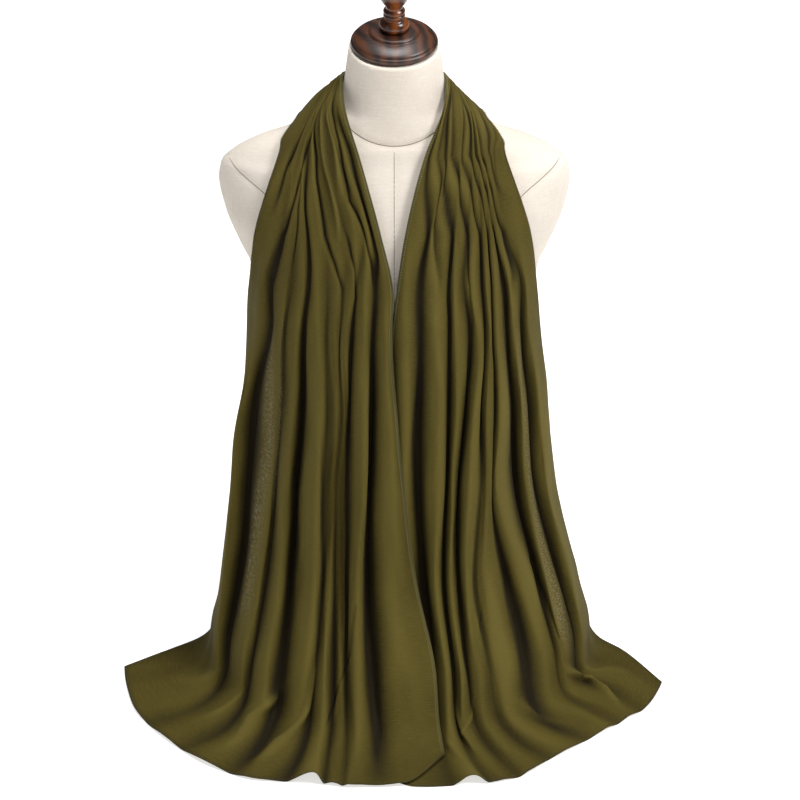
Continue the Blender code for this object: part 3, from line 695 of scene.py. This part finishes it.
# The main valleys are pinched to a dark line below the shoulder, and open out lower down.
PINCH = {  # line: from t, to t, share of the depth
    "left": {2: (0.26, 1, 1.0), 4: (0.30, 1, 0.9), 6: (0.3, 0.42, 0.6), 10: (0.30, 1, 1.0), 12: (0.3, 0.42, 0.5),
             14: (0.28, 0.75, 0.9)},
    "right": {2: (0.26, 1, 1.0), 4: (0.28, 1, 1.0), 6: (0.3, 1, 1.0), 8: (0.28, 0.8, 0.6), 10: (0.28, 1, 0.8),
              12: (0.26, 1, 1.2)},
}


def pinches(side, s, t):
    """The sharp bottom of each main valley, in metres."""
    wide, depth, narrow = (np.interp(t, *table)[:, None] for table in (WIDTH_AT, PINCH_DEPTH, PINCH_WIDE))
    out = np.zeros((len(t), len(s)))
    for line, (first, last, share) in PINCH[side].items():
        fade = fading(t, first, last, 0.06)[:, None]
        off = np.abs(s[None, :] - line / (LINES - 1)) * wide / (narrow / 1000)
        out -= share * fade * depth / 1000 * np.exp(-off ** 1.3)
    return out


ABOUT_A_TURN = 6.28
WAVE_HIGH, RIPPLE_HIGH = 0.0011, 0.0006


def slow_waves(s, t, seed, long=(1.0, 5.0), across=(3.0, 11.0), count=9):
    """A sum of a few random waves, long down the cloth and short across it, between -1 and 1."""
    pick = np.random.default_rng(seed)
    out = np.zeros((len(t), len(s)))
    for _ in range(count):
        a, b, c = pick.uniform(*across), pick.uniform(*long) * pick.choice([-1, 1]), pick.uniform(0, ABOUT_A_TURN)
        out += np.sin(ABOUT_A_TURN * (a * s[None, :] + b * t[:, None]) + c)
    return out / count ** 0.5 / 1.6


# %% [markdown]
# A tail is worked out in three layers: the smooth sheet under the folds, then the big folds along its normals, then
# the small creases. Pushing each layer along the surface's own normal keeps the folds round on a curved body.

# %% One tail
# Over the shoulder the folds run together to a narrow bundle beside the neck. Each number is where a line crosses,
# from the neck (0) to the outer end (1): first on top of the shoulder, then just in front of it.
FAN = {
    "left": {"top": (0, .03, .06, .085, .11, .13, .15, .17, .185, .20, .215, .23, .25, .275, .31, .62, .96, 1),
             "side": (0, .09, .17, .23, .28, .315, .35, .40, .44, .465, .49, .515, .545, .60, .66, .84, .98, 1)},
    "right": {"top": (0, .09, .16, .19, .22, .255, .29, .40, .46, .50, .54, .68, .82, .87, .91, .95, .98, 1),
              "side": (0, .035, .07, .16, .27, .35, .42, .46, .49, .52, .55, .65, .75, .82, .88, .94, .98, 1)},
}


def normals_of(grid, sign):
    return unit(np.cross(np.gradient(grid, axis=1), np.gradient(grid, axis=0)) * sign)


class Tail:
    """One hanging end: s runs from its inner edge to its outer edge, t from the shoulder to the hem."""

    def __init__(self, side):
        self.side, self.sign = side, -1 if side == "left" else 1
        lines, rises = (LEFT, LEFT_RISE) if side == "left" else (RIGHT, RIGHT_RISE)
        z, clear_left, clear_right, clear_front, power_left, power_right, fold, turn = np.array(list(DRAPE.values())).T
        clear_side, power = (clear_left, power_left) if side == "left" else (clear_right, power_right)
        form = smooth(BODY[:, 0], BODY[:, 1:], np.maximum(z / 1000, BODY[0, 0])) * 1000
        half, front = form[:, 0] + clear_side, form[:, 1] + clear_front
        x = np.array(list(lines.values()), float)
        rise = rise_table(rises) * fold[:, None]
        reach = np.clip(np.abs(x) / (half[:, None] + rise), 0, 1)
        angle = np.arcsin(reach ** (power[:, None] / 2)) * np.sign(x)
        for k in range(1, LINES - 1):
            angle[:, k] = np.maximum(angle[:, k], angle[:, k - 1] + np.radians(1.3))
        angle[:, -1] = np.maximum(angle[:, -1], angle[:, -2] + np.radians(0.5)) + np.radians(turn)
        bx, by = oval(half[:, None], front[:, None], power[:, None], angle)
        by[-1] += np.array(HEM_TRIM[side])
        by[-2] += np.array(HEM_TRIM[side]) * 0.35
        grid = np.stack([bx, by, np.repeat(z[:, None], LINES, 1)], -1)
        above = []
        for name, (inner, outer, bulge) in NECK_SIDE[side].items():
            a, b, share = np.array(inner, float), np.array(outer, float), np.array(FAN[side][name])
            row = a + (b - a) * share[:, None]
            row[:, 2] += bulge * np.sin(np.pi * share)
            above.append(row)
        self.grid = np.concatenate([np.array(above), grid]) / 1000
        self.rise = np.concatenate([rise[:1] * 0.45, rise[:1], rise]) / 1000
        self.places = np.linspace(0, 1, LINES)

    def sheet(self, s, t):
        rows = smooth(ALONG, self.grid, t, free=True)
        rows[..., 2] = np.maximum(rows[..., 2], 0.0008)
        return smooth(self.places, rows.transpose(1, 0, 2), s).transpose(1, 0, 2) * (self.sign, 1, 1)

    def folds(self, s, t):
        rows = smooth(ALONG, self.rise, t) * np.interp(t, *FOLD_SHARE)[:, None]
        i = np.clip(np.searchsorted(self.places, s, side="right") - 1, 0, LINES - 2)
        u = (s - self.places[i]) * (LINES - 1)
        low, high = np.minimum(rows[:, i], rows[:, i + 1]), np.maximum(rows[:, i], rows[:, i + 1])
        down = np.where(rows[:, i] >= rows[:, i + 1], u, 1 - u)
        return low + (high - low) * (0.5 + 0.5 * np.cos(np.pi * down)) ** 0.6

    def points(self, s, t):
        step = 1.5e-3
        across = self.sheet(np.minimum(s + step, 1), t) - self.sheet(np.maximum(s - step, 0), t)
        down = self.sheet(s, np.minimum(t + step, 1)) - self.sheet(s, np.maximum(t - step, 0))
        out = unit(np.cross(down, across) * self.sign)
        out[t == 0, :, 1] = 0
        big = self.sheet(s, t) + unit(out) * self.folds(s, t)[..., None]
        small = creases(self.side, s, t) + pinches(self.side, s, t)
        hanging = np.interp(t, *WAVE_SHARE)[:, None]
        seed = 11 if self.side == "left" else 23
        fine_waves = slow_waves(s, t, seed + 1, (2, 9), (10, 26), 12)
        small += WAVE_HIGH * hanging * slow_waves(s, t, seed) + RIPPLE_HIGH * hanging * fine_waves
        lie = np.interp(t, *LYING)[:, None]
        small = small * (1 - lie) + np.maximum(small, -0.0002) * lie
        small = small * np.minimum(t / 0.03 + 0.3, 1)[:, None]
        return big + normals_of(big, -self.sign) * small[..., None], self.folds(s, t) + small


# %% [markdown]
# Behind the neck the cloth is a bundle of gathers that joins the two tails. Halfway round, each fold of the left
# tail has turned into a fold of the right one.

# %% Behind the neck


def behind_neck(left, right, s, t):
    one = np.zeros(1)
    a, b = left.sheet(s, one)[0], right.sheet(s, one)[0]
    turn = (t - 0.5) * np.pi
    mix, c = (0.5 + 0.5 * np.sin(turn))[:, None], np.cos(turn)[:, None]
    wide = np.abs(a[None, :, 0]) * (1 - mix) + np.abs(b[None, :, 0]) * mix
    side_z = a[None, :, 2] * (1 - mix) + b[None, :, 2] * mix
    share = np.clip((np.abs(a[:, 0]) - 0.054) / 0.050, -0.1, 1.1)
    back_y, back_z = 0.0578 + 0.024 * share, 0.664 - 0.052 * share
    y, z = back_y * np.abs(c) ** 0.95 + 0.0003, side_z + (back_z - side_z) * c ** 2
    flat = np.stack([wide * np.sin(turn)[:, None], y, z], -1)
    out = normals_of(flat, 1)
    out *= np.sign((out * (flat - (0, 0, 0.55))).sum(-1, keepdims=True).mean())
    high = left.folds(s, one)[0] * (1 - mix) + right.folds(s, one)[0] * mix
    gathers = 0.0009 * slow_waves(s, t, 5, (0.5, 2.0), (6, 16), 10) * np.abs(c)
    return flat + out * (high + gathers)[..., None], high + gathers


# %% [markdown]
# The scarf is sewn as one cloth, so it is one mesh: up the left tail, round the neck and down the right tail. A
# second copy of the sheet two thirds of a millimetre below makes it a real thickness of jersey, closed at the rim.

# %% The scarf's surface
ACROSS, THICK = 125, 0.0007  # points from edge to edge, and the thickness of the jersey
MAP_WIDE = 0.44  # the width of the weave's map
UNDER_LIES, MIDDLE_LIES, TOP_LIES = 0.0003, 0.0007, 0.0009  # how low the cloth may go on the table
left, right = Tail("left"), Tail("right")
s_places = np.linspace(0, 1, ACROSS)
down = np.interp(np.linspace(0, 1, 168), [0, 0.46, 0.76, 1], [0, 0.33, 0.78, 1])
round_neck = np.linspace(0, 1, 52)[1:-1]
(left_points, left_relief), (right_points, right_relief) = left.points(s_places, down), right.points(s_places, down)
neck_points, neck_relief = behind_neck(left, right, s_places, round_neck)
scarf = np.concatenate([left_points[::-1], neck_points, right_points])
relief = np.concatenate([left_relief[::-1], neck_relief, right_relief])


def close_up(grid, passes=3):
    """Softens the joins between the three stretches."""
    for join in (len(down) - 1, len(down) + len(round_neck)):
        for _ in range(passes):
            part = grid[join - 3:join + 4]
            part[1:-1] = part[1:-1] * 0.5 + (part[:-2] + part[2:]) * 0.25
    return grid


scarf = close_up(scarf)
scarf[..., 2] = np.maximum(scarf[..., 2], MIDDLE_LIES)
faces_out = normals_of(scarf, 1)
side_of = np.sign((faces_out[len(down) // 2] * (0, -1, 0)).sum(-1).mean())
faces_out = faces_out * side_of
cut_run = run_of(scarf[:, ACROSS // 2])
widest = np.linalg.norm(np.diff(scarf, axis=1), axis=-1).sum(1).max()
edge_lengths = [round(float(run_of(scarf[:, k])[-1]), 3) for k in (0, ACROSS // 2, -1)]
print("rows", len(scarf), "along both edges and the middle", edge_lengths, f"m; widest {widest:.3f} m")

# %% [markdown]
# Deep in a fold the jersey is painted darker as painted shade, and on a ridge it is painted paler as a painted
# highlight. Comparing each point's relief with the average around it tells which it is, and the two masks go to the
# material with the mesh.

# %% Depth of the folds


def averaged(values, reach, passes=2):
    """A running average across the cloth."""
    for _ in range(passes):
        padded = np.pad(values, ((0, 0), (reach + 1, reach)), mode="edge").cumsum(1)
        values = (padded[:, 2 * reach + 1:] - padded[:, :-2 * reach - 1]) / (2 * reach + 1)
    return values


around_it = averaged(relief, 6)
sharp = np.interp(down, [0, 0.26, 0.36, 1], [0.0022, 0.0024, 0.0050, 0.0050])
sharp = np.concatenate([sharp[::-1], np.full(len(round_neck), 0.0022), sharp])[:, None]
# The painted shade mask: 1 deep in a fold, where the colour is painted darker.
deep = np.clip((around_it - relief) / sharp, 0, 1) ** 0.9
# The painted highlight mask: 1 on a ridge, where the colour is painted paler.
ridge_highlight = np.clip((relief - around_it) / (sharp * 0.9), 0, 1)
print("deep", round(float(deep.mean()), 3), "ridge_highlight", round(float(ridge_highlight.mean()), 3), "of the cloth")

# %% [markdown]
# Olive viscose jersey: fine upright ribs of knit, small slubs, a slightly uneven dye and a soft bloom at grazing
# angles, with painted shade deep in the folds and a painted highlight on the ridges. Where a single layer hangs free
# of the form, daylight comes through it in short streaks: they are painted paler as painted back-light, and the alpha
# lets a little of what lies behind show through.

# %% Olive jersey


def olive_jersey():
    jersey = Finish("olive_jersey", Roughness=0.85, Specular_IOR_Level=0.22, Sheen_Weight=0.04, Sheen_Roughness=0.4,
                    Sheen_Tint=seen(190, 176, 96))
    at = jersey.map()
    u, v, _ = jersey.parts(at)
    drift = jersey.noise(at, 60.0)
    wales = ((u + drift * 0.0006) * (2 * math.pi / 0.0011)).sine()
    courses = ((v + drift * 0.0004) * (2 * math.pi / 0.0009)).sine()
    slubs = jersey.step(jersey.noise(jersey.stretched(at, (110.0, 900.0, 1.0)), 1.0, 3.0), 0.42, 0.72)
    dye = jersey.noise(at, 9.0, 3.0)
    thin = jersey.mask_of("thin")
    base = jersey.mixed(jersey.step(dye, 0.3, 0.7), seen(67, 58, 17), seen(80, 70, 25))
    grain = jersey.step(jersey.noise(at, 1000.0, 2.0), 0.38, 0.62)
    streaked = jersey.mixed(slubs * 0.35 + grain * 0.22, base, seen(98, 88, 44))
    dashes = jersey.step(jersey.noise(jersey.stretched(at, (260.0, 760.0, 1.0)), 1.0, 2.0), 0.49, 0.60)
    # Painted back-light: where one layer hangs free, the colour is mixed in short streaks towards a pale olive.
    painted_backlight = jersey.mixed(thin * dashes * 0.95, streaked, seen(132, 121, 92))
    # Painted shade: deep in a fold the colour is mixed towards near black.
    shaded = jersey.mixed(jersey.mask_of("deep") * 0.9, painted_backlight, seen(26, 19, 6))
    # Painted highlight: on a ridge the colour is mixed towards a paler olive.
    raised = jersey.mixed(jersey.mask_of("ridge_highlight") * 0.5, shaded, seen(114, 103, 50))
    jersey.feed("Base Color", raised)
    jersey.feed("Alpha", 1 - thin * dashes * 0.16)
    jersey.feed("Normal", jersey.bump(wales * 0.4 + courses * 0.25 + slubs * 0.8 + grain * 0.6, 0.0002, 0.6))
    return jersey.material


def shell(grid, outward, thick):
    """A closed thin wall round a grid of middle points, flat on the table where it lies."""
    top, under = grid + outward * thick / 2, grid - outward * thick / 2
    top[..., 2], under[..., 2] = np.maximum(top[..., 2], TOP_LIES), np.maximum(under[..., 2], UNDER_LIES)
    rows, columns = grid.shape[:2]
    faces = grid_faces(rows, columns)
    count = rows * columns
    at = np.arange(count).reshape(rows, columns)
    rim = np.concatenate([at[0, :-1], at[:-1, -1], at[-1, :0:-1], at[:0:-1, 0]])
    turned_over = faces[:, ::-1] + count
    sides = np.stack([rim, rim + count, np.roll(rim, -1) + count, np.roll(rim, -1)], -1)
    return np.concatenate([top.reshape(-1, 3), under.reshape(-1, 3)]), np.concatenate([faces, turned_over, sides])


# Where one layer hangs free of the form and is painted paler as painted back-light: each strip's middle (its places s,
# its heights t) and its half width in s.
THIN_STRIPS = {
    "left": [([0.83, 0.777, 0.77, 0.782, 0.785, 0.78], [0.33, 0.454, 0.522, 0.582, 0.66, 0.80], 0.017),
             ([0.75, 0.718, 0.713, 0.725], [0.32, 0.448, 0.52, 0.62], 0.018)],
    "right": [([0.792, 0.765, 0.787, 0.795, 0.777, 0.787], [0.35, 0.424, 0.474, 0.588, 0.694, 0.84], 0.021)],
}


def thin_mask(side, s, t):
    out = np.zeros((len(t), len(s)))
    for places, heights, width in THIN_STRIPS[side]:
        fade = fading(t, heights[0], heights[-1], 0.05)
        off = (s[None, :] - np.interp(t, heights, places)[:, None]) / width
        out = np.maximum(out, fade[:, None] * np.exp(-off ** 4))
    return out


no_strip = np.zeros((len(round_neck), ACROSS))
thin = np.concatenate([thin_mask("left", s_places, down)[::-1], no_strip, thin_mask("right", s_places, down)])
points, faces = shell(scarf, faces_out, THICK)
if side_of < 0:
    faces = [face[::-1] for face in faces]
stretches = ["left_tail", "neck_wrap", "right_tail"]
scarf_piece = make_piece("scarf", points, faces, olive_jersey(), stretches, "olive_jersey")
flat_map = np.stack(np.meshgrid(s_places * MAP_WIDE, cut_run), -1).reshape(-1, 2)
lay_map(scarf_piece, np.concatenate([flat_map, flat_map]))
for mask_name, mask in (("thin", thin), ("deep", deep), ("ridge_highlight", ridge_highlight)):
    layer = scarf_piece.data.attributes.new(mask_name, "FLOAT", "POINT")
    layer.data.foreach_set("value", np.tile(mask.ravel(), 2).astype(np.float32))

# %% [markdown]
# All four edges are finished by an overlock machine: a grey-green thread wraps the edge in slanting loops, and a
# straight row of needle stitches runs beside it. A flattened helix round the edge gives the loops.

# %% Overlocked edges
OVERLOCK_DEEP, OVERLOCK_PITCH, LOOP_POINTS = 0.0026, 0.0026, 7
LOOP_THREAD, NEEDLE_THREAD = 0.00019, 0.00034  # their radii


def overlock(edge, inward, outward):
    """A flattened helix round an edge, and its dotted needle line, as points and faces."""
    run = run_of(edge)
    steps = int(run[-1] / OVERLOCK_PITCH) * LOOP_POINTS
    at = np.linspace(0, run[-1], steps)
    edge, inward, outward = (values_at(values, run, at) for values in (edge, inward, outward))
    inward, outward = unit(inward), unit(outward)
    turn = np.arange(steps) * 2 * math.pi / LOOP_POINTS
    deep = OVERLOCK_DEEP * (0.5 - 0.5 * np.cos(turn)) - 0.0003
    loops = edge + inward * deep[:, None] + outward * (np.sin(turn) * 0.00058)[:, None]
    loops[:, 2] = np.maximum(loops[:, 2], UNDER_LIES)
    needle = edge + inward * (OVERLOCK_DEEP + 0.0003) + outward * 0.00042
    meshes = [thread(loops, LOOP_THREAD, 4)]
    meshes += row_of_stitches(needle, OVERLOCK_PITCH, OVERLOCK_PITCH * 0.5, NEEDLE_THREAD)
    return joined(meshes)


raised = {"sheen": 0.1, "height": 0.0001}
front_thread = fibres("front_edge_thread", 0.6, 700.0, seen(96, 94, 62), seen(146, 146, 110), **raised)
hem_thread = fibres("hem_thread", 0.6, 700.0, seen(38, 32, 16), seen(98, 92, 60), **raised)
edges = {
    "overlock_inner": (scarf[:, 0], scarf[:, 2] - scarf[:, 0], faces_out[:, 0]),
    "overlock_outer": (scarf[:, -1], scarf[:, -3] - scarf[:, -1], faces_out[:, -1]),
    "overlock_left_hem": (scarf[0], scarf[3] - scarf[0], faces_out[0]),
    "overlock_right_hem": (scarf[-1], scarf[-4] - scarf[-1], faces_out[-1]),
}
for name, edge_and_ways in edges.items():
    finish = front_thread if name == "overlock_inner" else hem_thread
    make_piece(name, *overlock(*edge_and_ways), finish, slot="olive_jersey")

# %% [markdown]
# The table is a plain white sweep. Large soft lights keep the shadows faint: the strongest is high at the front
# right, a weaker one fills from the left, and the pale surroundings do the rest.

# %% Table, lights and camera
sweep = Finish("white_table", Roughness=0.95, Base_Color=(0.9, 0.9, 0.9, 1), Emission_Strength=1.0)
_, distance, _ = sweep.parts(sweep.surface())
sweep.feed("Emission Color", sweep.mixed(sweep.step(distance, 0.25, 1.6), (0.64, 0.64, 0.64, 1), (1.1, 1.1, 1.1, 1)))
table_mesh = bpy.data.meshes.new("table")
table_mesh.from_pydata([(-6, -5, 0), (6, -5, 0), (6, 8, 0), (-6, 8, 0)], [], [(0, 1, 2, 3)])
table_mesh.materials.append(sweep.material)
table = placed("table", table_mesh)

LIT_POINT = Vector((0, 0, 0.35))
LIGHTS = [  # name, place, size, watts
    ("key", (1.60, -0.95, 2.4), 0.8, 46.0),
    ("fill", (-1.8, -1.6, 1.2), 1.2, 4.0),
    ("top", (0.05, -0.12, 2.5), 0.8, 32.0),
]
for name, place, size, watts in LIGHTS:
    light = bpy.data.lights.new(name, "AREA")
    light.shape, light.size, light.energy = "SQUARE", size, watts
    lamp = placed(name, light)
    lamp.location = place
    lamp.rotation_euler = (LIT_POINT - Vector(place)).to_track_quat("-Z", "Y").to_euler()

world = bpy.data.worlds.new("pale_room")
world.use_nodes = True
room = world.node_tree.nodes["Background"].inputs
room["Color"].default_value, room["Strength"].default_value = (1, 1, 1, 1), 0.10
bpy.context.scene.world = world
bpy.context.scene.view_settings.view_transform = "Standard"

LOOKS_DOWN = 23.1  # degrees
lens = bpy.data.cameras.new("camera")
lens.lens, lens.sensor_width = 86.5, 36
camera = placed("camera", lens)
camera.location, camera.rotation_euler = (0.006, -2.0, 1.15), (math.radians(90 - LOOKS_DOWN), 0, 0)
bpy.context.scene.camera = camera
